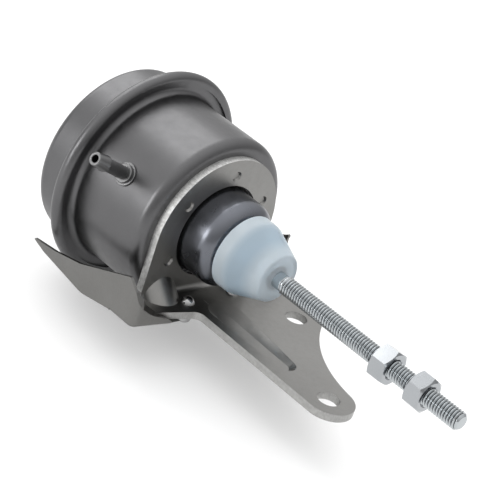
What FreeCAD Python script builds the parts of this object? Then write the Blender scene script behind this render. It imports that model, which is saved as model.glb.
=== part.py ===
import FreeCAD, Part
from math import acos, atan2, cos, degrees, hypot, pi, radians, sin, sqrt, tan
import os

os.makedirs("parts", exist_ok=True)

# Frame: the pull rod runs along X with its threaded tip towards +X, Z is up, and the
# origin is on the rod axis at the front face of the bracket plate. Millimetres.

# Driving dimensions of the canister
CAN_R = 29.2
CAN_WALL = 1.0
CAN_CORNER = 3.2
FLANGE_X = -33.5
FLANGE_WIDTH = 4.7
COVER_STEP = 0.9
COVER_REAR_X = -50.0
COVER_CORNER = 2.8
CRIMP_OVERLAP = 1.0
CRIMP_ROOM = 0.1
VENT_R = 2.0
STOP_R = 14.6
STOP_DEPTH = 1.8
DIAPHRAGM_T = 1.2

# Driving dimensions of the neck dome
DOME_R = 14.6
DOME_FRONT_X = 12.0
DOME_CORNER = 5.0
NECK_R = 6.5
NECK_FRONT_X = 21.5

# Driving dimensions of the pull rod and its fittings
SHANK_R = 2.675
THREAD_R = 2.95
THREAD_START_X = 31.5
ROD_TIP_X = 103.3
ROD_STEP_R = 2.1
ROD_HEAD_R = 3.4
ROD_HEAD_H = 1.3
RUNNING_CLEARANCE = 0.04
THREAD_CLEARANCE = 0.05
NUT_FLATS = 10.0
NUT_THICKNESS = 5.7
INNER_NUT_X = 71.1
OUTER_NUT_X = 85.0
INNER_NUT_TURN = 31.7
OUTER_NUT_TURN = 24.8
BUSH_LENGTH = 5.0
CAP_MOUTH_R = 12.45
CAP_SKIRT = 4.2
CAP_NOSE_R = 7.9
CAP_NOSE_X = 28.1
CAP_WALL = 1.2
CAP_GAP = 0.5

# Driving dimensions of the piston pack
PISTON_GAP = 4.7
PISTON_BASE_X = -44.5
PISTON_LENGTH = 11.0
PISTON_WALL = 1.2
SPRING_WIRE_R = 1.3
SPRING_GAP = 2.0
SPRING_END_GAP = 0.1
SPRING_COILS = 5
SEAT_T = 0.8
SEAT_HUB = 5.0
RETAINER_MARGIN = 3.5
ROD_WASHER_R = 9.0

# Driving dimensions of the vacuum nipple
NIPPLE_X = -18.2
NIPPLE_ANGLE = 154.0
NIPPLE_LENGTH = 16.4
NIPPLE_BARB = 5.2
NIPPLE_STEM_R = 2.05
NIPPLE_BARB_R = 2.55
NIPPLE_BORE_R = 1.15
COLLAR_FLANGE_R = 3.7
COLLAR_BOSS_R = 3.0
COLLAR_RISE = 0.7

# Driving dimensions of the bracket
SHEET_T = 2.5
PLATE_R = 24.5
PLATE_HOLE_GAP = 1.1
LEG_Z = -20.2
BEND_R = 2.0
FLANGE_CORNER = (7.8, -24.5, 2.2)
NEAR_ROOT = (11.8, -9.7, 3.0)
FAR_ROOT = (8.0, 29.1, 3.0)
FAR_CORNER = (6.0, 24.5, 1.5)
TIP_CENTRE = (61.5, -2.1)
TIP_R = 8.0
LUG_CENTRE = (24.4, 20.7)
LUG_R = 8.4
WAIST_R = 45.5
BOLT_HOLE_R = 3.6
BOLT_HOLES = ((61.35, -2.3), (24.4, 20.7))
DIMPLE_RING_R = 18.8
DIMPLE_R = 1.7
DIMPLE_DEPTH = 0.6
DIMPLE_ANGLES = (25.5, 85.5, 145.5, 205.5, 325.5)
GUSSET_R = 8.0
GUSSET_RISE = 6.3
RIB_DEPTH = 1.2
RIB_WALL = 0.4
RIB_MOUTH = ((14.5, -1.0, 5.7), (43.0, -2.5, 3.3))
RIB_FLOOR = ((16.5, -3.6, 2.4), (42.6, -3.0, 2.0))
RIB_START_DEPTH = 0.35

# Driving dimensions of the heat shield
SHIELD_T = 1.0
SHIELD_GAP = 5.2
SHIELD_FLARE = 1.2
SHIELD_BEND_R = 1.6
SHIELD_CORNER_R = 2.6
SHIELD_FRONT_X = 10.8
SHIELD_FRONT_Y = 20.0
SHIELD_SIDE_X = 8.6
SHIELD_REAR_X = -1.6
SHIELD_WALL_TOP_Z = -1.0
NEAR_WING = (
    (0.2, -9.7, 0),
    (3.4, -8.4, 0.8),
    (7.2, -11.6, 3.0),
    (9.2, -17.0, 0),
    (14.0, -17.0, 0),
    (14.0, -24.0, 0),
    (3.0, -24.0, 4.0),
    (-2.2, -23.15, 2.0),
    (-14.6, -25.4, 10.0),
    (-33.9, -22.6, 4.0),
    (-40.0, -20.8, 0.25),
    (-29.4, -19.5, 10.0),
    (-17.6, -16.9, 10.0),
)
FAR_WING = (
    (0.0, -6.9, 0),
    (1.7, -5.4, 0.5),
    (0.6, -9.0, 4.0),
    (8.6, -20.0, 3.0),
    (9.2, -22.4, 0),
    (14.0, -22.4, 0),
    (14.0, -24.0, 0),
    (3.0, -24.0, 4.0),
    (-2.2, -23.15, 2.0),
    (-14.6, -25.4, 10.0),
    (-33.9, -22.6, 4.0),
    (-39.5, -20.6, 0.25),
    (-17.6, -16.3, 10.0),
)
NEAR_LIP = (
    (-15.6, -23.9, 0),
    (-15.9, -22.9, 0),
    (-19.2, -22.8, 1.0),
    (-21.6, -21.2, 6.0),
    (-27.9, -19.5, 8.0),
    (-31.9, -17.0, 0),
    (-31.9, -23.9, 0),
)
RIVET_X = 6.0
RIVET_INSET = 6.85
RIVET_HEAD_R = 2.3
RIVET_SHANK_R = 1.5
RIVET_HEAD_H = 1.8
RIVET_TAIL_R = 2.5
RIVET_TAIL_H = 2.9
RIVET_TAIL_ROUND = 0.9

# Positions that follow from the dimensions above
FLANGE_R = CAN_R + FLANGE_WIDTH
COVER_R = CAN_R + COVER_STEP
BEAD_R = FLANGE_R + CAN_WALL + 11 * CRIMP_ROOM
BEAD_WIDTH = 3 * CAN_WALL + DIAPHRAGM_T
PISTON_R = CAN_R - CAN_WALL - PISTON_GAP
SPRING_R = PISTON_R - PISTON_WALL - SPRING_WIRE_R - SPRING_GAP
PLATE_HOLE_R = DOME_R + PLATE_HOLE_GAP
GUSSET_Y = PLATE_R - GUSSET_R
RIVET_Y = GUSSET_Y - RIVET_INSET
SHIELD_HALF_WIDTH = CAN_R + SHIELD_GAP
CAN_FACE_X = -SHEET_T
LEG_UNDER_Z = LEG_Z - SHEET_T
SHIELD_UNDER_Z = LEG_UNDER_Z - SHIELD_T
X_AXIS = FreeCAD.Vector(1, 0, 0)
Z_AXIS = FreeCAD.Vector(0, 0, 1)
ORIGIN = FreeCAD.Vector(0, 0, 0)


def in_xz(u, v):
    return FreeCAD.Vector(u, 0, v)


def in_xy(u, v):
    return FreeCAD.Vector(u, v, 0)


def in_yz(u, v):
    return FreeCAD.Vector(0, u, v)


def turn_side(before, at, after):
    """Positive where a path turns to its left."""
    ax, ay = at[0] - before[0], at[1] - before[1]
    bx, by = after[0] - at[0], after[1] - at[1]
    return ax * by - ay * bx


def rounded_corner(before, at, after, radius):
    """Tangent point, arc middle and tangent point of a rounded corner."""
    ax, ay = before[0] - at[0], before[1] - at[1]
    bx, by = after[0] - at[0], after[1] - at[1]
    la, lb = hypot(ax, ay), hypot(bx, by)
    ax, ay, bx, by = ax / la, ay / la, bx / lb, by / lb
    half = acos(max(-1.0, min(1.0, ax * bx + ay * by))) / 2
    reach = radius / tan(half)
    mx, my = ax + bx, ay + by
    lm = hypot(mx, my)
    depth = radius / sin(half) - radius
    start = (at[0] + ax * reach, at[1] + ay * reach)
    middle = (at[0] + mx / lm * depth, at[1] + my / lm * depth)
    end = (at[0] + bx * reach, at[1] + by * reach)
    return start, middle, end


def path_edges(points, place):
    """Edges of an open path; each point is (u, v, corner radius)."""
    edges = []
    last = points[0][:2]
    for i in range(1, len(points) - 1):
        u, v, radius = points[i]
        if radius <= 0:
            edges.append(Part.LineSegment(place(*last), place(u, v)).toShape())
            last = (u, v)
            continue
        start, middle, end = rounded_corner(points[i - 1], points[i], points[i + 1], radius)
        if hypot(start[0] - last[0], start[1] - last[1]) > 1e-4:
            edges.append(Part.LineSegment(place(*last), place(*start)).toShape())
        edges.append(Part.Arc(place(*start), place(*middle), place(*end)).toShape())
        last = end
    edges.append(Part.LineSegment(place(*last), place(*points[-1][:2])).toShape())
    return edges


def offset_path(points, distance):
    """The same path moved to its left by the distance, corner radii kept concentric."""
    lines = []
    for a, b in zip(points, points[1:]):
        dx, dy = b[0] - a[0], b[1] - a[1]
        length = hypot(dx, dy)
        nx, ny = -dy / length * distance, dx / length * distance
        lines.append(((a[0] + nx, a[1] + ny), (b[0] + nx, b[1] + ny)))
    moved = [(lines[0][0][0], lines[0][0][1], 0)]
    for i in range(1, len(points) - 1):
        (p, q), (r, s) = lines[i - 1], lines[i]
        ux, uy = q[0] - p[0], q[1] - p[1]
        vx, vy = s[0] - r[0], s[1] - r[1]
        step = ((r[0] - p[0]) * vy - (r[1] - p[1]) * vx) / (ux * vy - uy * vx)
        side = 1 if turn_side(points[i - 1], points[i], points[i + 1]) > 0 else -1
        radius = points[i][2] - side * distance
        moved.append((p[0] + ux * step, p[1] + uy * step, max(radius, 0)))
    moved.append((lines[-1][1][0], lines[-1][1][1], 0))
    return moved


def sheet_face(points, thickness, place):
    """Face of a bent sheet in section, the thickness laid to the left of the path."""
    other = offset_path(points, thickness)
    edges = path_edges(points, place) + path_edges(other, place)
    for a, b in ((points[0], other[0]), (points[-1], other[-1])):
        edges.append(Part.LineSegment(place(*a[:2]), place(*b[:2])).toShape())
    return Part.Face(Part.Wire(Part.__sortEdges__(edges)))


def turned_sheet(points, thickness):
    """Sheet revolved about the rod axis; points are (x, radius, corner radius)."""
    return sheet_face(points, thickness, in_xz).revolve(ORIGIN, X_AXIS, 360)


def closed_face(points, place):
    """Face inside a closed path that starts and ends in the middle of a side."""
    return Part.Face(Part.Wire(Part.__sortEdges__(path_edges(points + [points[0]], place))))


def turned(points):
    """Solid revolved about the rod axis from a closed list of (x, radius, corner radius)."""
    return closed_face(points, in_xz).revolve(ORIGIN, X_AXIS, 360)


def ring(x_rear, x_front, r_in, r_out):
    outer = Part.makeCylinder(r_out, x_front - x_rear, in_xz(x_rear, 0), X_AXIS)
    return outer.cut(Part.makeCylinder(r_in, x_front - x_rear, in_xz(x_rear, 0), X_AXIS))


def on_nipple_axis(shape):
    """Stand a shape built up along Z on the side of the can."""
    shape.rotate(ORIGIN, X_AXIS, NIPPLE_ANGLE - 90)
    shape.translate(in_xz(NIPPLE_X, 0))
    return shape


def front_can():
    """Deep drawn can: crimp flange, wall, front face, neck dome and neck in one sheet."""
    lip_r = SHANK_R + 2.2
    path = [
        (FLANGE_X, FLANGE_R, 0),
        (FLANGE_X, CAN_R, 2.0),
        (CAN_FACE_X, CAN_R, CAN_CORNER),
        (CAN_FACE_X, DOME_R, 1.0),
        (DOME_FRONT_X, DOME_R, DOME_CORNER),
        (DOME_FRONT_X, NECK_R, 1.2),
        (NECK_FRONT_X, NECK_R, 1.5),
        (NECK_FRONT_X, lip_r, 0),
    ]
    can = turned_sheet(path, -CAN_WALL)
    port = Part.makeCylinder(NIPPLE_STEM_R, 4 * CAN_WALL, in_xz(0, CAN_R - 2 * CAN_WALL), Z_AXIS)
    return can.cut(on_nipple_axis(port))


def rear_cover():
    """Shallow cover whose rim is rolled round the can flange as the crimp bead."""
    bead_front_x = FLANGE_X + CAN_WALL
    bead_rear_x = bead_front_x - BEAD_WIDTH
    roll = BEAD_WIDTH / 2 - 0.05
    path = [
        (COVER_REAR_X, VENT_R, 0),
        (COVER_REAR_X, STOP_R - 2 * STOP_DEPTH, 1.2),
        (COVER_REAR_X + STOP_DEPTH, STOP_R - STOP_DEPTH, 1.2),
        (COVER_REAR_X + STOP_DEPTH, STOP_R + STOP_DEPTH, 1.2),
        (COVER_REAR_X, STOP_R + 2 * STOP_DEPTH, 1.2),
        (COVER_REAR_X, COVER_R, COVER_CORNER),
        (bead_rear_x, COVER_R, 1.2),
        (bead_rear_x, BEAD_R, roll),
        (bead_front_x, BEAD_R, roll),
        (bead_front_x, FLANGE_R - CRIMP_OVERLAP, 0),
    ]
    return turned_sheet(path, -CAN_WALL)


def diaphragm():
    """Rubber diaphragm from the clamped rim down to the piston pack."""
    front_x = FLANGE_X - CAN_WALL
    path = [
        (front_x, FLANGE_R, 0),
        (front_x, CAN_R - 1.3, 1.6),
        (PISTON_BASE_X, PISTON_R + 1.4, 2.0),
        (PISTON_BASE_X, ROD_STEP_R, 0),
    ]
    return turned_sheet(path, -DIAPHRAGM_T)


def piston():
    """Drawn cup that carries the spring inside and the diaphragm behind."""
    path = [
        (PISTON_BASE_X, ROD_STEP_R, 0),
        (PISTON_BASE_X, PISTON_R, 3.0),
        (PISTON_BASE_X + PISTON_LENGTH, PISTON_R, 0),
    ]
    return turned_sheet(path, -PISTON_WALL)


def retainer_plate():
    """Dished plate that holds the diaphragm against the piston."""
    rear_x = PISTON_BASE_X - DIAPHRAGM_T
    plate = ring(rear_x - PISTON_WALL, rear_x, ROD_STEP_R, PISTON_R - RETAINER_MARGIN)
    rear_edges = [e for e in plate.Edges if e.CenterOfMass.x < rear_x - 0.9 * PISTON_WALL]
    return plate.makeFillet(PISTON_WALL / 2, [max(rear_edges, key=lambda e: e.Length)])


def rod_washer():
    front_x = PISTON_BASE_X + 2 * PISTON_WALL
    return ring(front_x - PISTON_WALL, front_x, ROD_STEP_R, ROD_WASHER_R)


def spring_seat():
    """Pressed ring that centres the spring behind the front face."""
    hub_r = SPRING_R - SPRING_WIRE_R - SPRING_GAP / 4 - SEAT_T
    seat_x = CAN_FACE_X - CAN_WALL
    path = [
        (seat_x, SPRING_R + 2 * SPRING_WIRE_R, 0),
        (seat_x, hub_r, 1.2),
        (seat_x - SEAT_HUB, hub_r, 0),
    ]
    return turned_sheet(path, -SEAT_T)


def return_spring():
    """Coil spring between the piston's base and the seat ring."""
    rear_x = PISTON_BASE_X + PISTON_WALL + SPRING_WIRE_R + SPRING_END_GAP
    front_x = CAN_FACE_X - CAN_WALL - SEAT_T - SPRING_WIRE_R - SPRING_END_GAP
    length = front_x - rear_x
    helix = Part.makeHelix(length / SPRING_COILS, length, SPRING_R)
    section = Part.makeCircle(SPRING_WIRE_R, in_xz(SPRING_R, 0), FreeCAD.Vector(0, 1, 0))
    coil = Part.Wire(helix).makePipeShell([Part.Wire([section])], True, True)
    coil.rotate(ORIGIN, FreeCAD.Vector(0, 1, 0), 90)
    coil.translate(in_xz(rear_x, 0))
    return coil


def guide_bush():
    """Plain bush in the neck that the shank slides in, chamfered to clear the neck's corner."""
    front_x = NECK_FRONT_X - CAN_WALL
    bush = ring(front_x - BUSH_LENGTH, front_x, SHANK_R + RUNNING_CLEARANCE, NECK_R - CAN_WALL)
    front_edges = [e for e in bush.Edges if e.CenterOfMass.x > front_x - 0.1]
    return bush.makeChamfer(0.7, [max(front_edges, key=lambda e: e.Length)])


def rod_seal():
    """Rubber lip seal with an open groove behind its lip."""
    rear_x = DOME_FRONT_X
    front_x = NECK_FRONT_X - CAN_WALL - BUSH_LENGTH
    r_in = SHANK_R + RUNNING_CLEARANCE
    r_out = NECK_R - CAN_WALL
    lip = (r_out - r_in) / 3
    seal = ring(rear_x, front_x, r_in, r_out)
    groove = ring(rear_x, (rear_x + front_x) / 2, r_in + lip, r_out - lip)
    return seal.cut(groove)


def seal_retainer():
    """Flanged ring pressed in behind the rod seal."""
    rear_face = DOME_FRONT_X - CAN_WALL
    r_in = SHANK_R + 0.7
    flange = ring(rear_face - CAN_WALL, rear_face, r_in, NECK_R + 2 * CAN_WALL)
    plug = ring(rear_face, DOME_FRONT_X, r_in, NECK_R - CAN_WALL)
    return flange.fuse(plug).removeSplitter()


def vacuum_nipple():
    """Hose nipple with a barb behind its mouth, brazed through the can wall."""
    foot_z = CAN_R - 1.5 * CAN_WALL
    mouth_z = CAN_R + NIPPLE_LENGTH
    barb_z = mouth_z - NIPPLE_BARB
    tube = [
        (NIPPLE_BORE_R, foot_z + CAN_WALL, 0),
        (NIPPLE_BORE_R, foot_z, 0),
        (NIPPLE_STEM_R, foot_z, 0),
        (NIPPLE_STEM_R, barb_z - 0.8, 0.6),
        (NIPPLE_BARB_R, barb_z, 0.6),
        (NIPPLE_STEM_R, mouth_z, 0.35),
        (NIPPLE_BORE_R, mouth_z, 0.35),
    ]
    return on_nipple_axis(closed_face(tube, in_xz).revolve(ORIGIN, Z_AXIS, 360))


def nipple_collar():
    """Stepped collar that seats on the curved can wall round the nipple."""
    foot_z = CAN_R - COLLAR_RISE
    flange_top = CAN_R + COLLAR_RISE
    boss_top = flange_top + 1.4 * COLLAR_RISE
    step = [
        (NIPPLE_STEM_R, CAN_R, 0),
        (NIPPLE_STEM_R, foot_z, 0),
        (COLLAR_FLANGE_R, foot_z, 0),
        (COLLAR_FLANGE_R, flange_top, 0.25),
        (COLLAR_BOSS_R, flange_top, 0),
        (COLLAR_BOSS_R, boss_top, 0.35),
        (NIPPLE_STEM_R, boss_top, 0),
    ]
    collar = on_nipple_axis(closed_face(step, in_xz).revolve(ORIGIN, Z_AXIS, 360))
    wall_x = NIPPLE_X - 2 * COLLAR_FLANGE_R
    return collar.cut(Part.makeCylinder(CAN_R, 4 * COLLAR_FLANGE_R, in_xz(wall_x, 0), X_AXIS))


def tangent_arc_centre(c1, r1, c2, r2, radius):
    """Centre of an arc that touches two circles from outside, on their +Y side."""
    dx, dy = c2[0] - c1[0], c2[1] - c1[1]
    gap = hypot(dx, dy)
    d1, d2 = radius + r1, radius + r2
    along = (d1 * d1 - d2 * d2 + gap * gap) / (2 * gap)
    away = sqrt(d1 * d1 - along * along)
    ux, uy = dx / gap, dy / gap
    return (c1[0] + ux * along + uy * away, c1[1] + uy * along - ux * away)


def point_towards(start, target, distance):
    dx, dy = target[0] - start[0], target[1] - start[1]
    gap = hypot(dx, dy)
    return (start[0] + dx / gap * distance, start[1] + dy / gap * distance)


def leg_outline():
    """Outline of the leg in plan: flange corner, bolt tip, waist, bolt lug, flange corner."""
    waist = tangent_arc_centre(TIP_CENTRE, TIP_R, LUG_CENTRE, LUG_R, WAIST_R)
    tip_exit = point_towards(TIP_CENTRE, waist, TIP_R)
    lug_entry = point_towards(LUG_CENTRE, waist, LUG_R)
    middle = ((TIP_CENTRE[0] + LUG_CENTRE[0]) / 2, (TIP_CENTRE[1] + LUG_CENTRE[1]) / 2)
    waist_point = point_towards(waist, middle, WAIST_R)
    near = [
        (CAN_FACE_X, -PLATE_R, 0),
        FLANGE_CORNER,
        NEAR_ROOT,
        (TIP_CENTRE[0], TIP_CENTRE[1] - TIP_R, 0),
    ]
    far = [
        (LUG_CENTRE[0], LUG_CENTRE[1] + LUG_R, 0),
        FAR_ROOT,
        FAR_CORNER,
        (CAN_FACE_X, PLATE_R, 0),
    ]
    edges = path_edges(near, in_xy)
    tip_point = (TIP_CENTRE[0] + TIP_R, TIP_CENTRE[1])
    edges.append(Part.Arc(in_xy(*near[-1][:2]), in_xy(*tip_point), in_xy(*tip_exit)).toShape())
    edges.append(Part.Arc(in_xy(*tip_exit), in_xy(*waist_point), in_xy(*lug_entry)).toShape())
    lug_angle = (atan2(lug_entry[1] - LUG_CENTRE[1], lug_entry[0] - LUG_CENTRE[0]) + pi / 2) / 2
    lug_point = (LUG_CENTRE[0] + LUG_R * cos(lug_angle), LUG_CENTRE[1] + LUG_R * sin(lug_angle))
    edges.append(Part.Arc(in_xy(*lug_entry), in_xy(*lug_point), in_xy(*far[0][:2])).toShape())
    edges += path_edges(far, in_xy)
    edges.append(Part.LineSegment(in_xy(CAN_FACE_X, PLATE_R), in_xy(CAN_FACE_X, -PLATE_R)).toShape())
    return Part.Face(Part.Wire(Part.__sortEdges__(edges)))


def tapered_slot(c1, r1, c2, r2, z):
    """Wire round two circles of different radius and the lines that touch both."""
    dx, dy = c2[0] - c1[0], c2[1] - c1[1]
    heading = atan2(dy, dx)
    lean = acos((r1 - r2) / hypot(dx, dy))

    def at(centre, radius, angle):
        return FreeCAD.Vector(centre[0] + radius * cos(angle), centre[1] + radius * sin(angle), z)

    left, right = heading + lean, heading - lean
    a, b = at(c1, r1, left), at(c1, r1, right)
    c, d = at(c2, r2, right), at(c2, r2, left)
    return Part.Wire([
        Part.Arc(a, at(c1, r1, heading + pi), b).toShape(),
        Part.LineSegment(b, c).toShape(),
        Part.Arc(c, at(c2, r2, heading), d).toShape(),
        Part.LineSegment(d, a).toShape(),
    ])


def rib_form(top_z, grow):
    """Tapered rib that deepens away from the bend, with a steep near wall and a long far slope."""
    (mx, my, mr), (nx, ny, nr) = RIB_MOUTH
    (fx, fy, fr), (gx, gy, gr) = RIB_FLOOR
    mouth = tapered_slot((mx, my), mr + grow, (nx, ny), nr + grow, top_z)
    floor = tapered_slot((fx, fy), fr + grow, (gx, gy), gr + grow, top_z - RIB_DEPTH)
    tilt = degrees(atan2(RIB_DEPTH - RIB_START_DEPTH, gx - fx))
    floor.rotate(FreeCAD.Vector(gx, 0, top_z - RIB_DEPTH), FreeCAD.Vector(0, 1, 0), tilt)
    return Part.makeLoft([mouth, floor], True, True)


def gusset_cylinder(side, radius):
    """Cylinder laid across the bend corner at 45 degrees."""
    drop = GUSSET_R / sqrt(2)
    reach = 30.0
    ridge = (0.0, LEG_Z + GUSSET_RISE)
    start = FreeCAD.Vector(ridge[0] - drop - reach / 2, side * GUSSET_Y, ridge[1] - drop + reach / 2)
    return Part.makeCylinder(radius, reach * sqrt(2), start, FreeCAD.Vector(1, 0, -1))


def standing_cylinder(radius, height, centre, base_z):
    return Part.makeCylinder(radius, height, FreeCAD.Vector(centre[0], centre[1], base_z), Z_AXIS)


def bolt_holes():
    base_z = LEG_UNDER_Z - SHEET_T
    return [standing_cylinder(BOLT_HOLE_R, 4 * SHEET_T, centre, base_z) for centre in BOLT_HOLES]


def rivet_holes():
    """Holes for both rivets through the bracket and the shield's foot."""
    base_z = SHIELD_UNDER_Z - SHIELD_T
    height = 2 * SHIELD_T + 2 * SHEET_T
    centres = [(RIVET_X, side * RIVET_Y) for side in (-1, 1)]
    return [standing_cylinder(RIVET_SHANK_R, height, centre, base_z) for centre in centres]


def dimple(angle):
    """Shallow pressed dimple in the plate's face."""
    y = DIMPLE_RING_R * cos(radians(angle))
    z = DIMPLE_RING_R * sin(radians(angle))
    floor = FreeCAD.Vector(-DIMPLE_DEPTH, y, z)
    return Part.makeCone(DIMPLE_R * 0.7, DIMPLE_R, DIMPLE_DEPTH, floor, X_AXIS)


def bracket():
    """One pressed sheet: round plate, bend with two gussets, and the leg with its rib."""
    profile = [(0, PLATE_R + 2, 0), (0, LEG_Z, BEND_R), (TIP_CENTRE[0] + 2 * TIP_R, LEG_Z, 0)]
    width = 80.0
    blank = sheet_face(profile, -SHEET_T, in_xz).extrude(FreeCAD.Vector(0, width, 0))
    blank.translate(FreeCAD.Vector(0, -width / 2, 0))
    plate = Part.makeCylinder(PLATE_R, SHEET_T + BEND_R, in_xz(-SHEET_T, 0), X_AXIS)
    skirt_size = (SHEET_T + BEND_R, 2 * PLATE_R, -LEG_UNDER_Z)
    skirt = Part.makeBox(*skirt_size, FreeCAD.Vector(-SHEET_T, -PLATE_R, LEG_UNDER_Z))
    leg = leg_outline().extrude(FreeCAD.Vector(0, 0, SHEET_T + BEND_R))
    leg.translate(FreeCAD.Vector(0, 0, LEG_UNDER_Z))
    body = blank.common(plate.fuse([skirt, leg]))
    corner_size = (GUSSET_RISE + 1, 2 * PLATE_R, GUSSET_RISE + 1)
    corner = Part.makeBox(*corner_size, FreeCAD.Vector(-0.2, -PLATE_R, LEG_Z - 0.2))
    for side in (-1, 1):
        body = body.fuse(gusset_cylinder(side, GUSSET_R).common(corner))
        body = body.cut(gusset_cylinder(side, GUSSET_R - SHEET_T))
    body = body.fuse(rib_form(LEG_UNDER_Z, -RIB_WALL)).cut(rib_form(LEG_Z, 0))
    cuts = bolt_holes() + rivet_holes()
    cuts.append(Part.makeCylinder(PLATE_HOLE_R, 4 * SHEET_T, in_xz(-2 * SHEET_T, 0), X_AXIS))
    cuts += [dimple(angle) for angle in DIMPLE_ANGLES]
    return body.cut(cuts).removeSplitter()


def shield_wall_y(z):
    """Outer side of the flared wall at a height."""
    return SHIELD_HALF_WIDTH + SHIELD_FLARE * (z - SHIELD_UNDER_Z) / (SHIELD_WALL_TOP_Z - SHIELD_UNDER_Z)


def shield_section(inset):
    """Trapezoid across the shield between its flared walls."""
    base_z, top_z = SHIELD_UNDER_Z + inset, SHIELD_WALL_TOP_Z + inset
    base_y, top_y = shield_wall_y(base_z) - inset, shield_wall_y(top_z) - inset
    corners = [(-base_y, base_z), (base_y, base_z), (top_y, top_z), (-top_y, top_z), (-base_y, base_z)]
    return Part.Face(Part.makePolygon([in_yz(y, z) for y, z in corners]))


def shield_plan(inset):
    """Plan of the shield, its front drawn back towards both sides."""
    reach = 2 * SHIELD_HALF_WIDTH
    front_x = SHIELD_FRONT_X - inset
    slant = (SHIELD_FRONT_X - SHIELD_SIDE_X) / (SHIELD_HALF_WIDTH - SHIELD_FRONT_Y)
    side_x = front_x - slant * (reach - SHIELD_FRONT_Y)
    half = [(front_x, SHIELD_FRONT_Y), (side_x, reach), (-reach, reach)]
    corners = half + [(x, -y) for x, y in reversed(half)] + half[:1]
    return Part.Face(Part.makePolygon([in_xy(x, y) for x, y in corners]))


def shield_form(inset):
    """Solid inside the pressed shape: flat floor, flared walls, rounded corners and floor edge."""
    reach = 2 * SHIELD_HALF_WIDTH
    channel = shield_section(inset).extrude(in_xz(2 * reach, 0))
    channel.translate(in_xz(-reach, 0))
    block = shield_plan(inset).extrude(in_xz(0, 2 * reach))
    block.translate(in_xz(0, -reach))
    form = channel.common(block)
    upright = [e for e in form.Edges if e.BoundBox.ZLength > SHIELD_BEND_R]
    front = [e for e in upright if e.BoundBox.XMin > SHIELD_REAR_X]
    corners = [e for e in front if abs(e.BoundBox.Center.y) > SHIELD_FRONT_Y + 1]
    form = form.makeFillet(SHIELD_CORNER_R - inset, corners)
    floor_z = SHIELD_UNDER_Z + inset + 0.01
    floor_edges = [e for e in form.Edges if e.BoundBox.ZMax < floor_z and e.BoundBox.XMax > SHIELD_REAR_X]
    return form.makeFillet(SHIELD_BEND_R - inset, floor_edges)


def shield_tail(side):
    """Flat wall behind the foot, where a wing hangs a little lower than the foot."""
    rear_x = min(x for x, z, radius in NEAR_WING + FAR_WING) - SHIELD_T
    base_z = min(z for x, z, radius in NEAR_WING + FAR_WING) - SHIELD_T
    top_y, base_y = shield_wall_y(SHIELD_WALL_TOP_Z), shield_wall_y(base_z)
    section = [
        in_yz(side * top_y, SHIELD_WALL_TOP_Z),
        in_yz(side * base_y, base_z),
        in_yz(side * (base_y - SHIELD_T), base_z),
        in_yz(side * (top_y - SHIELD_T), SHIELD_WALL_TOP_Z),
        in_yz(side * top_y, SHIELD_WALL_TOP_Z),
    ]
    tail = Part.Face(Part.makePolygon(section)).extrude(in_xz(SHIELD_REAR_X - rear_x, 0))
    tail.translate(in_xz(rear_x, 0))
    return tail


def wing_form(side, points):
    """Block with a wing's side outline, deep enough to hold the flared wall and its corner."""
    inner_y = SHIELD_HALF_WIDTH - SHIELD_CORNER_R
    depth = 2 * SHIELD_CORNER_R
    wing = closed_face(list(points), in_xz).extrude(FreeCAD.Vector(0, depth, 0))
    wing.translate(FreeCAD.Vector(0, min(side * inner_y, side * (inner_y + depth)), 0))
    return wing


def shield_foot():
    """Block over the flat foot under the flange, ending behind the rib."""
    inner_y = SHIELD_HALF_WIDTH - SHIELD_CORNER_R
    size = (SHIELD_SIDE_X - SHIELD_REAR_X, 2 * inner_y, 2 * SHIELD_T)
    return Part.makeBox(*size, FreeCAD.Vector(SHIELD_REAR_X, -inner_y, LEG_UNDER_Z - 2 * SHIELD_T))


def near_lip():
    """Block over the front lip that falls from the near wing to the flange's edge."""
    lip = closed_face(list(NEAR_LIP), in_yz).extrude(in_xz(2 * SHIELD_T + SHIELD_CORNER_R, 0))
    lip.translate(in_xz(SHIELD_SIDE_X - SHIELD_T, 0))
    return lip


def heat_shield():
    """Thin pressed sheet: foot riveted under the flange, a wing up each side, a lip in front."""
    wings = wing_form(-1, NEAR_WING).fuse(wing_form(1, FAR_WING))
    ahead = Part.makeBox(
        2 * SHIELD_FRONT_X, 4 * SHIELD_HALF_WIDTH, 4 * SHIELD_HALF_WIDTH,
        FreeCAD.Vector(SHIELD_REAR_X, -2 * SHIELD_HALF_WIDTH, -2 * SHIELD_HALF_WIDTH),
    )
    kept = wings.common(ahead).fuse([shield_foot(), near_lip()])
    front = shield_form(0).cut(shield_form(SHIELD_T)).common(kept)
    tails = shield_tail(-1).fuse(shield_tail(1)).common(wings)
    return front.fuse(tails).cut(rivet_holes()).removeSplitter()


def shield_rivet(side):
    """Round head above the flange, set tail under the shield."""
    centre = (RIVET_X, side * RIVET_Y)
    ball_r = (RIVET_HEAD_R ** 2 + RIVET_HEAD_H ** 2) / (2 * RIVET_HEAD_H)
    ball = Part.makeSphere(ball_r, FreeCAD.Vector(*centre, LEG_Z + RIVET_HEAD_H - ball_r))
    head = ball.common(standing_cylinder(RIVET_HEAD_R, RIVET_HEAD_H, centre, LEG_Z))
    shank = standing_cylinder(RIVET_SHANK_R, LEG_Z - SHIELD_UNDER_Z, centre, SHIELD_UNDER_Z)
    tail_z = SHIELD_UNDER_Z - RIVET_TAIL_H
    tail = standing_cylinder(RIVET_TAIL_R, RIVET_TAIL_H, centre, tail_z)
    lower_rim = [e for e in tail.Edges if e.Length > RIVET_TAIL_R and e.CenterOfMass.z < tail_z + 0.1]
    tail = tail.makeFillet(RIVET_TAIL_ROUND, lower_rim)
    return head.fuse([shank, tail]).removeSplitter()


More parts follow.
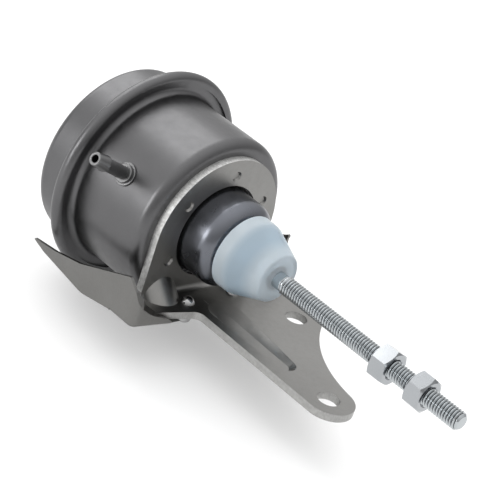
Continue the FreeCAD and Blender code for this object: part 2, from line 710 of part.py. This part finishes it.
def rod():
    """Pull rod: riveted rear spigot, smooth shank, threaded front with a chamfered tip."""
    head_x = PISTON_BASE_X - DIAPHRAGM_T - PISTON_WALL
    step_x = PISTON_BASE_X + 2 * PISTON_WALL
    chamfer = 0.9
    run_in = 0.3
    points = [
        (0, 0, 0),
        (head_x - ROD_HEAD_H, 0, 0),
        (head_x - ROD_HEAD_H, ROD_STEP_R, 0),
        (head_x, ROD_HEAD_R, 0),
        (head_x, ROD_STEP_R, 0),
        (step_x, ROD_STEP_R, 0),
        (step_x, SHANK_R, 0),
        (THREAD_START_X, SHANK_R, 0),
        (THREAD_START_X + run_in, THREAD_R, 0),
        (ROD_TIP_X - chamfer, THREAD_R, 0),
        (ROD_TIP_X, THREAD_R - chamfer, 0),
        (ROD_TIP_X, 0, 0),
    ]
    return turned(points)


def dust_cap():
    """Soft cone over the neck with an inner sleeve that grips the rod shank."""
    mouth_x = DOME_FRONT_X + CAP_GAP
    path = [
        (mouth_x, CAP_MOUTH_R, 0),
        (mouth_x + CAP_SKIRT, CAP_MOUTH_R - 0.15, 3.0),
        (CAP_NOSE_X, CAP_NOSE_R, 0.9),
        (CAP_NOSE_X, SHANK_R, 0),
    ]
    sleeve = ring(NECK_FRONT_X + CAP_GAP, CAP_NOSE_X - CAP_WALL, SHANK_R, SHANK_R + 1.3 * CAP_WALL)
    return turned_sheet(path, -CAP_WALL).fuse(sleeve).removeSplitter()


def hex_nut(rear_x, turn, face_share, corner_depth):
    """Hexagon nut with both faces chamfered and the bore countersunk."""
    corner_r = NUT_FLATS / sqrt(3)
    angles = [radians(turn + 60 * k) for k in range(7)]
    outline = [FreeCAD.Vector(rear_x, corner_r * cos(a), corner_r * sin(a)) for a in angles]
    prism = Part.Face(Part.makePolygon(outline)).extrude(in_xz(NUT_THICKNESS, 0))
    face_r = NUT_FLATS / 2 * face_share
    front_x = rear_x + NUT_THICKNESS
    barrel = turned([
        (rear_x + 1, 0, 0),
        (rear_x, 0, 0),
        (rear_x, face_r, 0),
        (rear_x + corner_depth, corner_r + 0.01, 0),
        (front_x - corner_depth, corner_r + 0.01, 0),
        (front_x, face_r, 0),
        (front_x, 0, 0),
    ])
    bore_r = THREAD_R + THREAD_CLEARANCE
    sink = 0.45
    nut = prism.common(barrel)
    nut = nut.cut(Part.makeCylinder(bore_r, NUT_THICKNESS, in_xz(rear_x, 0), X_AXIS))
    nut = nut.cut(Part.makeCone(bore_r + sink, bore_r, sink, in_xz(rear_x, 0), X_AXIS))
    return nut.cut(Part.makeCone(bore_r, bore_r + sink, sink, in_xz(front_x - sink, 0), X_AXIS))


PARTS = {
    "front_can": front_can(),
    "rear_cover": rear_cover(),
    "diaphragm": diaphragm(),
    "piston": piston(),
    "retainer_plate": retainer_plate(),
    "rod_washer": rod_washer(),
    "spring_seat": spring_seat(),
    "return_spring": return_spring(),
    "guide_bush": guide_bush(),
    "rod_seal": rod_seal(),
    "seal_retainer": seal_retainer(),
    "vacuum_nipple": vacuum_nipple(),
    "nipple_collar": nipple_collar(),
    "bracket": bracket(),
    "heat_shield": heat_shield(),
    "near_rivet": shield_rivet(-1),
    "far_rivet": shield_rivet(1),
    "rod": rod(),
    "dust_cap": dust_cap(),
    "inner_nut": hex_nut(INNER_NUT_X, INNER_NUT_TURN, 0.97, 0.55),
    "outer_nut": hex_nut(OUTER_NUT_X, OUTER_NUT_TURN, 0.92, 0.75),
}

for name, shape in PARTS.items():
    shape.exportStep("parts/" + name + ".step")
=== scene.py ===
from math import cos, pi, radians, sin

import bpy
from mathutils import Matrix, Vector


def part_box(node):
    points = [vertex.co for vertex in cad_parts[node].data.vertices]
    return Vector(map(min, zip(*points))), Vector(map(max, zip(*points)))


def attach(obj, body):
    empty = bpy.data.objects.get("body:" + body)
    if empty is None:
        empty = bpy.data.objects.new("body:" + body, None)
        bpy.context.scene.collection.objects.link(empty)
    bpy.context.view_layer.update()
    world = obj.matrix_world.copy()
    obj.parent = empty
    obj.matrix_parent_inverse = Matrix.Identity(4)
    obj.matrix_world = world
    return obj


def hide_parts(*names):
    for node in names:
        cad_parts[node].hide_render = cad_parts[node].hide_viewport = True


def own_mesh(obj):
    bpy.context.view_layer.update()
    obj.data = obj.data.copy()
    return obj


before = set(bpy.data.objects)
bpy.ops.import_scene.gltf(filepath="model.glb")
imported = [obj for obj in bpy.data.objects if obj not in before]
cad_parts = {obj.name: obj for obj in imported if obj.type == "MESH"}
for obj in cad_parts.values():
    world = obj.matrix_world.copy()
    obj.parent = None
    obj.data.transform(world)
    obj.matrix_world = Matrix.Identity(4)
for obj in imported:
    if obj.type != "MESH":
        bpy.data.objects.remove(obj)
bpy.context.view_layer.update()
MM = 0.001

# Camera at the photograph's place, with its angles in degrees

AZIMUTH = 37.44
ELEVATION = 26.7
ROLL = 18.99
FOCAL_PX = 1910.9
PHOTO_PX = 500
SENSOR_WIDTH = 36
CAMERA_PLACE = Vector((324.9, -405.2, 258.7)) * MM

# Pull rod, in millimetres

rod_low, rod_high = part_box("rod")
ROD_BACK_X = rod_low.x / MM
TIP_X = rod_high.x / MM
SPIGOT_R = 2.1
HEAD_R = 3.4
HEAD_X = -46.9
SHANK_START = -42.1
SHANK_R = 2.675
SHANK_CHAMFER = 0.2
SHANK_RINGS = (-20, 0, 12, 20, 26, 28, 29, 30, 31)
GROOVE_START, GROOVE_FRONT, GROOVE_END = 31.15, 31.25, 31.45
GROOVE_DEPTH = 0.3
THREAD_START = 31.6
THREAD_R = 2.95
THREAD_DEPTH = 0.52
PITCH = 1.0
CREST_FLAT = 0.12
FLANK = 0.66
RUN_IN = 0.9
TIP_CHAMFER = 0.9
ROD_SIDES = 60
ROWS_PER_TURN = 9

# Return spring, in millimetres

WIRE_R = 1.3
COIL_R = 19.0
COILS = 5
SPRING_STEPS = 240
WIRE_SIDES = 14

# Places where a material changes, in millimetres

DOME_EDGE = (-0.5, 0.5)
# Radii over which the painted shade in the thread's roots fades out
ROOT_SHADE_TO_CREST_R = (2.45, 2.62)
PLAIN_TIP_X = 102.6
PLATE_FRONT_X = 0.02
PLATE_LOW_Z = -18.0
LEG_START_X = 2.4
LEG_TOP_Z = -19.0
BRIGHT_DASH_X = (6.8, 9.2)
BRIGHT_DASH_Y = (-3.8, -3.45)
# Ends of the painted shade on the cap's cone
CONE_SHADE_START = (15.5, 18.5)
CONE_SHADE_END = (26.0, 22.0)

# Shares without a unit

NOISE_MIDDLE = (0.3, 0.7)
EDGE_ON = 0.3
LEG_WALL_SHEEN = 0.35
BRIGHT_DASH_SHARE = 0.6

# Floor and sky, with the floor's place and reach in metres

FLOOR_Z = -0.0385
FLOOR_REACH = 3.0
FLOOR_GREY = 0.68
FLOOR_GLOW = 0.3
SKY_LEVEL = 0.35
SKY_OVERHEAD = 1.35
SKY_BEHIND = 0.35
SKY_BEHIND_ENDS = 0.6
WHITE = (1, 1, 1, 1)


def place(name, data):
    thing = bpy.data.objects.new(name, data)
    bpy.context.collection.objects.link(thing)
    return thing


def make_camera():
    az, el, roll = radians(AZIMUTH), radians(ELEVATION), radians(ROLL)
    back = Vector((sin(az) * cos(el), -cos(az) * cos(el), sin(el)))
    level = Vector((cos(az), sin(az), 0))
    rise = back.cross(level)
    right = level * cos(roll) + rise * sin(roll)
    up = rise * cos(roll) - level * sin(roll)
    data = bpy.data.cameras.new("view")
    data.sensor_width = SENSOR_WIDTH
    data.lens = SENSOR_WIDTH * FOCAL_PX / PHOTO_PX
    data.clip_start = 0.01
    data.clip_end = 20
    camera = place("view", data)
    camera.matrix_world = Matrix.Translation(CAMERA_PLACE) @ Matrix((right, up, back)).transposed().to_4x4()
    bpy.context.scene.camera = camera


# Helpers for node trees


class Nodes:
    """A node tree. Most methods add one node and give its output."""

    def __init__(self, tree):
        self.tree = tree

    def add(self, kind, **settings):
        node = self.tree.nodes.new("ShaderNode" + kind)
        for key, value in settings.items():
            setattr(node, key, value)
        return node

    def link(self, output, socket):
        self.tree.links.new(output, socket)

    def axis(self, vector, name):
        node = self.add("SeparateXYZ")
        self.link(vector, node.inputs[0])
        return node.outputs[name]

    def remap(self, value, low, high, to_low=0.0, to_high=1.0):
        node = self.add("MapRange")
        for key, number in zip(("From Min", "From Max", "To Min", "To Max"), (low, high, to_low, to_high)):
            node.inputs[key].default_value = number
        self.link(value, node.inputs["Value"])
        return node.outputs["Result"]

    def spread(self, noise, low=0.0, high=1.0):
        """The middle of a noise's range, stretched to run from low to high."""
        return self.remap(noise, *NOISE_MIDDLE, low, high)

    def maths(self, operation, *values, clamp=True):
        node = self.add("Math", operation=operation, use_clamp=clamp)
        for socket, value in zip(node.inputs, values):
            if isinstance(value, (int, float)):
                socket.default_value = value
            else:
                self.link(value, socket)
        return node.outputs[0]

    def product(self, first, *others):
        for other in others:
            first = self.maths("MULTIPLY", first, other)
        return first

    def between(self, value, low, high):
        """1 where the value lies between low and high, and 0 elsewhere."""
        return self.product(self.maths("GREATER_THAN", value, low), self.maths("LESS_THAN", value, high))

    def ease_down(self, share, high, low):
        """From high, at a share of 0, to the lower value low, at a share of 1."""
        drop = self.maths("MULTIPLY", share, self.maths("SUBTRACT", high, low, clamp=False))
        return self.maths("SUBTRACT", high, drop, clamp=False)

    def mix(self, factor, a, b):
        """From colour a to colour b. Inputs 6 and 7 and output 2 are the node's colour sockets."""
        node = self.add("Mix", data_type="RGBA")
        self.link(factor, node.inputs["Factor"])
        for socket, value in ((node.inputs[6], a), (node.inputs[7], b)):
            if isinstance(value, tuple):
                socket.default_value = (*value, 1)
            else:
                self.link(value, socket)
        return node.outputs[2]


class Material(Nodes):
    """A procedural material, with patterns laid out in the object's own millimetres."""

    def __init__(self, name, **shader):
        self.block = bpy.data.materials.new(name)
        self.block.use_nodes = True
        super().__init__(self.block.node_tree)
        self.bsdf = self.tree.nodes["Principled BSDF"]
        for key, value in shader.items():
            self.bsdf.inputs[key.replace("_", " ")].default_value = value

    def mm(self):
        scale = self.add("VectorMath", operation="SCALE")
        scale.inputs["Scale"].default_value = 1 / MM
        self.link(self.add("TexCoord").outputs["Object"], scale.inputs[0])
        return scale.outputs[0]

    def along(self, name):
        return self.axis(self.mm(), name)

    def facing(self, name):
        normal = self.add("NewGeometry").outputs["True Normal"]
        return self.maths("ABSOLUTE", self.axis(normal, name))

    def noise(self, per_mm, detail=4.0, rough=0.6, stretch=(1, 1, 1)):
        shape = self.add("VectorMath", operation="MULTIPLY")
        shape.inputs[1].default_value = stretch
        self.link(self.mm(), shape.inputs[0])
        node = self.add("TexNoise")
        for key, value in (("Scale", per_mm), ("Detail", detail), ("Roughness", rough)):
            node.inputs[key].default_value = value
        self.link(shape.outputs[0], node.inputs["Vector"])
        return node.outputs["Fac"]

    def mottle(self, cloud, speck, speck_share):
        """Tone from 0 to 1 with broad clouds and a share of fine specks."""
        clouds = self.spread(cloud, 0.0, 1 - speck_share)
        return self.maths("ADD", clouds, self.spread(speck, 0.0, speck_share))

    def bump(self, height, depth_mm, below=None):
        node = self.add("Bump")
        node.inputs["Distance"].default_value = depth_mm * MM
        self.link(height, node.inputs["Height"])
        if below is not None:
            self.link(below, node.inputs["Normal"])
        return node.outputs["Normal"]

    def to(self, socket, value):
        self.link(value, self.bsdf.inputs[socket])


def dress(material, *names):
    for name in names:
        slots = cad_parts[name].data.materials
        slots.clear()
        slots.append(material.block)


# Materials of the object


def speckles(m, dark, light):
    """Colour between dark and light, with broad clouds and fine specks."""
    tone = m.mottle(m.noise(0.06), m.noise(2.2, 5.0, 0.7), speck_share=0.35)
    return m.mix(tone, dark, light)


def uneven_gloss(m, low, high):
    return m.spread(m.noise(0.35), low, high)


def speckled(name, dark, light, roughness, grain_per_mm, grain_mm, metallic=1.0):
    """Surface with cloudy tone, fine specks, uneven gloss and a shallow grain."""
    m = Material(name, Metallic=metallic)
    m.to("Base Color", speckles(m, dark, light))
    m.to("Roughness", uneven_gloss(m, *roughness))
    m.to("Normal", m.bump(m.noise(grain_per_mm), grain_mm))
    return m


def black_coat():
    """Thin dark electrocoat, satin on the can, and smoother and a little bluer on the neck dome."""
    m = Material("can_coat", Metallic=1.0)
    on_dome = m.remap(m.along("X"), *DOME_EDGE)
    can = speckles(m, (0.114, 0.114, 0.117), (0.139, 0.138, 0.141))
    dome = m.mix(m.noise(0.35), (0.14, 0.147, 0.165), (0.162, 0.169, 0.189))
    m.to("Base Color", m.mix(on_dome, can, dome))
    dome_gloss = m.spread(m.noise(0.35, 2.0, 0.5), 0.27, 0.31)
    m.to("Roughness", m.ease_down(on_dome, uneven_gloss(m, 0.32, 0.4), dome_gloss))
    grain_left = m.remap(m.along("X"), *DOME_EDGE, 1.0, 0.08)
    m.to("Normal", m.bump(m.maths("MULTIPLY", m.noise(1.1), grain_left), 0.004))
    return m


def rod_zinc():
    """Bright zinc, with painted shade in the roots of the thread."""
    m = Material("rod_zinc", Metallic=1.0)
    across = m.add("CombineXYZ")
    for name in ("Y", "Z"):
        m.link(m.along(name), across.inputs[name])
    radius = m.add("VectorMath", operation="LENGTH")
    m.link(across.outputs[0], radius.inputs[0])
    # Painted shade: near black in the thread's roots, fading out towards the crests, and none on the plain
    # tip
    crest = m.remap(radius.outputs["Value"], *ROOT_SHADE_TO_CREST_R)
    bright = m.maths("MAXIMUM", crest, m.maths("GREATER_THAN", m.along("X"), PLAIN_TIP_X))
    zinc_tone = speckles(m, (0.44, 0.465, 0.48), (0.49, 0.515, 0.53))
    m.to("Base Color", m.mix(bright, (0.06, 0.065, 0.07), zinc_tone))
    m.to("Roughness", uneven_gloss(m, 0.1, 0.16))
    m.to("Normal", m.bump(m.noise(0.8), 0.001))
    return m


def rolled_steel(name, dark, light):
    """Material of rolled sheet, with its face colour, satin gloss and faint grain still to be linked."""
    m = Material(name, Metallic=1.0)
    tone = m.mottle(m.noise(0.05), m.noise(1.6, 5.0, 0.7), speck_share=0.4)
    satin = m.spread(m.noise(0.5), 0.3, 0.42)
    grain = m.bump(m.noise(1.8), 0.005)
    return m, m.mix(tone, dark, light), satin, grain


def heat_shield_steel():
    m, face, satin, grain = rolled_steel("shield_steel", (0.165, 0.163, 0.157), (0.2, 0.198, 0.191))
    m.to("Base Color", face)
    m.to("Roughness", satin)
    m.to("Normal", grain)
    return m


def sheared_share(m):
    """1 on the plate's sheared rim, less on the leg's side walls and on a small bright dash on the leg."""
    x, y, z = m.along("X"), m.along("Y"), m.along("Z")
    edge_on_x = m.maths("LESS_THAN", m.facing("X"), EDGE_ON)
    edge_on_z = m.maths("LESS_THAN", m.facing("Z"), EDGE_ON)
    leg_walls = m.product(m.maths("GREATER_THAN", x, LEG_START_X), edge_on_z, LEG_WALL_SHEEN)
    above_leg = m.maths("GREATER_THAN", z, PLATE_LOW_Z)
    plate_rim = m.product(edge_on_x, above_leg, m.maths("LESS_THAN", x, PLATE_FRONT_X))
    on_leg = m.maths("LESS_THAN", z, LEG_TOP_Z)
    # A small dash on the leg, given part of the bright sheared look
    bright_dash = m.product(m.between(x, *BRIGHT_DASH_X), m.between(y, *BRIGHT_DASH_Y), on_leg, BRIGHT_DASH_SHARE)
    return m.maths("MAXIMUM", m.maths("MAXIMUM", leg_walls, plate_rim), bright_dash)


def pressed_bracket_steel():
    """Rolled sheet with bright sheared edges, which carry fine lines across the sheet."""
    m, face, satin, grain = rolled_steel("bracket_steel", (0.225, 0.222, 0.215), (0.265, 0.262, 0.254))
    lines = m.noise(3.0, 2.0, 0.5, stretch=(0.3, 1, 0.3))
    cut = sheared_share(m)
    cut_face = m.mix(m.spread(lines), (0.5, 0.5, 0.49), (0.74, 0.74, 0.73))
    m.to("Base Color", m.mix(cut, face, cut_face))
    m.to("Roughness", m.maths("ADD", satin, m.maths("MULTIPLY", cut, 0.2)))
    m.to("Normal", m.bump(m.maths("MULTIPLY", lines, cut), 0.02, grain))
    return m


def milky_plastic():
    """Translucent moulded plastic, with bluer painted shade over the cone, where the real neck shows
    through.
    """
    m = Material("cap_plastic", Roughness=0.32, IOR=1.25, Transmission_Weight=0.6)
    tone = m.mottle(m.noise(0.12, 3.0, 0.5), m.noise(1.5), speck_share=0.3)
    skin = m.mix(tone, (0.78, 0.86, 0.91), (0.84, 0.91, 0.96))
    x = m.along("X")
    # Painted shade: darker and bluer over the cone, standing for the neck seen through the wall
    cone_shade = m.product(m.remap(x, *CONE_SHADE_START), m.remap(x, *CONE_SHADE_END))
    m.to("Base Color", m.mix(cone_shade, skin, (0.6, 0.72, 0.81)))
    m.to("Normal", m.bump(m.noise(1.2), 0.015))
    return m


port_coat = speckled("port_coat", (0.16, 0.16, 0.162), (0.2, 0.2, 0.202), (0.28, 0.38), 2.0, 0.004)
nut_zinc = speckled("zinc", (0.36, 0.375, 0.39), (0.4, 0.415, 0.43), (0.14, 0.2), 0.8, 0.0006)
rivet_steel = speckled("rivet_steel", (0.36, 0.36, 0.36), (0.44, 0.44, 0.44), (0.08, 0.18), 1.6, 0.004)
inner_steel = speckled("inner_steel", (0.36, 0.36, 0.37), (0.46, 0.46, 0.46), (0.3, 0.42), 1.2, 0.008)
spring_steel = speckled("spring_steel", (0.16, 0.16, 0.17), (0.22, 0.22, 0.23), (0.3, 0.4), 1.2, 0.008)
rubber = speckled("rubber", (0.02, 0.02, 0.02), (0.035, 0.035, 0.035), (0.6, 0.75), 2.4, 0.02, metallic=0.0)
bronze = speckled("bronze", (0.34, 0.23, 0.11), (0.45, 0.32, 0.17), (0.45, 0.6), 3.0, 0.03)

dress(black_coat(), "front_can", "rear_cover")
dress(port_coat, "vacuum_nipple", "nipple_collar")
dress(pressed_bracket_steel(), "bracket")
dress(heat_shield_steel(), "heat_shield")
dress(rivet_steel, "near_rivet", "far_rivet")
dress(nut_zinc, "inner_nut", "outer_nut")
dress(milky_plastic(), "dust_cap")
dress(inner_steel, "piston", "retainer_plate", "rod_washer", "spring_seat", "seal_retainer")
dress(rubber, "diaphragm", "rod_seal")
dress(bronze, "guide_bush")

# Pieces made here


def closed_tube(name, rings, material):
    """Piece through rings of points in metres, smooth along its sides and capped at both ends."""
    sides = len(rings[0])
    points = [point for ring in rings for point in ring]
    faces = []
    for near in range(0, len(points) - sides, sides):
        far = near + sides
        for j in range(sides):
            k = (j + 1) % sides
            faces.append((near + j, near + k, far + k, far + j))
    faces.append(tuple(reversed(range(sides))))
    faces.append(tuple(range(len(points) - sides, len(points))))
    mesh = bpy.data.meshes.new(name)
    mesh.from_pydata(points, [], faces)
    mesh.validate()
    mesh.update()
    for polygon in mesh.polygons:
        polygon.use_smooth = len(polygon.vertices) == 4
    mesh.materials.append(material.block)
    return place(name, mesh)


def thread_radius(x, turn):
    """Radius of a 60 degree thread with narrow flat crests and wider flat roots."""
    phase = (x / PITCH - turn) % 1.0
    from_crest = min(abs(phase - 0.5) * 2, 1.0)
    depth = min(max((from_crest - CREST_FLAT) / FLANK, 0.0), 1.0)
    run_in = min(max((x - THREAD_START) / RUN_IN, 0.0), 1.0)
    radius = THREAD_R - THREAD_DEPTH * depth * run_in
    return min(radius, THREAD_R - TIP_CHAMFER + (TIP_X - x))


def threaded_rod():
    """Riveted head, spigot, shank, groove and thread, from the back to the tip."""
    profile = [(ROD_BACK_X, SPIGOT_R), (HEAD_X, HEAD_R), (HEAD_X, SPIGOT_R), (SHANK_START, SPIGOT_R)]
    profile += [(SHANK_START, SHANK_R - SHANK_CHAMFER), (SHANK_START + SHANK_CHAMFER, SHANK_R)]
    profile += [(x, SHANK_R) for x in (*SHANK_RINGS, GROOVE_START)]
    profile += [(x, SHANK_R - GROOVE_DEPTH) for x in (GROOVE_FRONT, GROOVE_END)]
    rings = [[(x, r)] * ROD_SIDES for x, r in profile]
    rows = int((TIP_X - THREAD_START) * ROWS_PER_TURN / PITCH)
    for i in range(rows + 1):
        x = THREAD_START + (TIP_X - THREAD_START) * i / rows
        rings.append([(x, thread_radius(x, j / ROD_SIDES)) for j in range(ROD_SIDES)])
    turned = []
    for ring in rings:
        angles = [2 * pi * j / ROD_SIDES for j in range(ROD_SIDES)]
        turned.append([(x * MM, r * cos(a) * MM, r * sin(a) * MM) for (x, r), a in zip(ring, angles)])
    return closed_tube("pull_rod_thread", turned, rod_zinc())


def coil_spring(low_x, high_x):
    """Helix of wire that fills the length from low_x to high_x, in millimetres."""
    first_x = low_x + WIRE_R
    rise = (high_x - WIRE_R - first_x) / (2 * pi * COILS)
    rings = []
    for i in range(SPRING_STEPS + 1):
        turn = 2 * pi * COILS * i / SPRING_STEPS
        outward = Vector((0, sin(turn), -cos(turn)))
        along = Vector((rise, COIL_R * cos(turn), COIL_R * sin(turn))).normalized()
        side = along.cross(outward)
        centre = Vector((first_x + rise * turn, 0, 0)) + outward * COIL_R
        angles = [2 * pi * j / WIRE_SIDES for j in range(WIRE_SIDES)]
        rings.append([(centre + (outward * cos(a) + side * sin(a)) * WIRE_R) * MM for a in angles])
    return closed_tube("return_coil", rings, spring_steel)


thread = threaded_rod()
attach(thread, "pull_rod")
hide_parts("rod")

spring_low, spring_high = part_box("return_spring")
seat_x = spring_high.x
coil = coil_spring(spring_low.x / MM, seat_x / MM)
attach(coil, "canister")
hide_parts("return_spring")
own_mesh(coil)

# Floor, world and lamps


def make_floor():
    """Matt floor that also glows faintly where the camera, gloss or clear plastic sees it."""
    corners = [(x * FLOOR_REACH, y * FLOOR_REACH, FLOOR_Z) for x, y in ((-1, -1), (1, -1), (1, 1), (-1, 1))]
    mesh = bpy.data.meshes.new("floor")
    mesh.from_pydata(corners, [], [(0, 1, 2, 3)])
    grey = (FLOOR_GREY, FLOOR_GREY, FLOOR_GREY, 1)
    m = Material("floor", Base_Color=grey, Roughness=0.9, Specular_IOR_Level=0.0, Emission_Color=WHITE)
    path = m.add("LightPath").outputs
    seen = m.maths("ADD", path["Is Camera Ray"], path["Is Transmission Ray"])
    seen = m.maths("ADD", seen, path["Is Glossy Ray"])
    m.to("Emission Strength", m.maths("MULTIPLY", seen, FLOOR_GLOW))
    mesh.materials.append(m.block)
    place("floor", mesh)


def make_world():
    """Soft sky, brighter overhead and towards the back of the can."""
    world = bpy.data.worlds.new("studio")
    bpy.context.scene.world = world
    world.use_nodes = True
    sky = Nodes(world.node_tree)
    background = sky.tree.nodes["Background"]
    background.inputs["Color"].default_value = WHITE
    direction = sky.add("TexCoord").outputs["Generated"]
    overhead = sky.remap(sky.axis(direction, "Z"), 0.0, 1.0, SKY_LEVEL, SKY_OVERHEAD)
    behind = sky.remap(sky.axis(direction, "X"), -1.0, SKY_BEHIND_ENDS, SKY_BEHIND, 0.0)
    sky.link(sky.maths("ADD", overhead, behind, clamp=False), background.inputs["Strength"])


def soft_box(name, centre, size, watts):
    """Rectangular lamp that faces the origin."""
    data = bpy.data.lights.new(name, "AREA")
    data.shape = "RECTANGLE"
    data.size, data.size_y = size
    data.energy = watts
    lamp = place(name, data)
    lamp.location = centre
    lamp.rotation_euler = (-Vector(centre)).to_track_quat("-Z", "Y").to_euler()


make_floor()
make_world()
make_camera()
soft_box("back_left", centre=(-0.82, 0.2, 0.75), size=(0.9, 0.75), watts=3.9)
soft_box("high", centre=(-0.55, -0.1, 0.95), size=(0.22, 0.22), watts=0.3)
soft_box("front_left", centre=(-0.37, -0.92, 0.21), size=(0.45, 0.36), watts=2.8)

bpy.context.scene.view_settings.view_transform = "Standard"
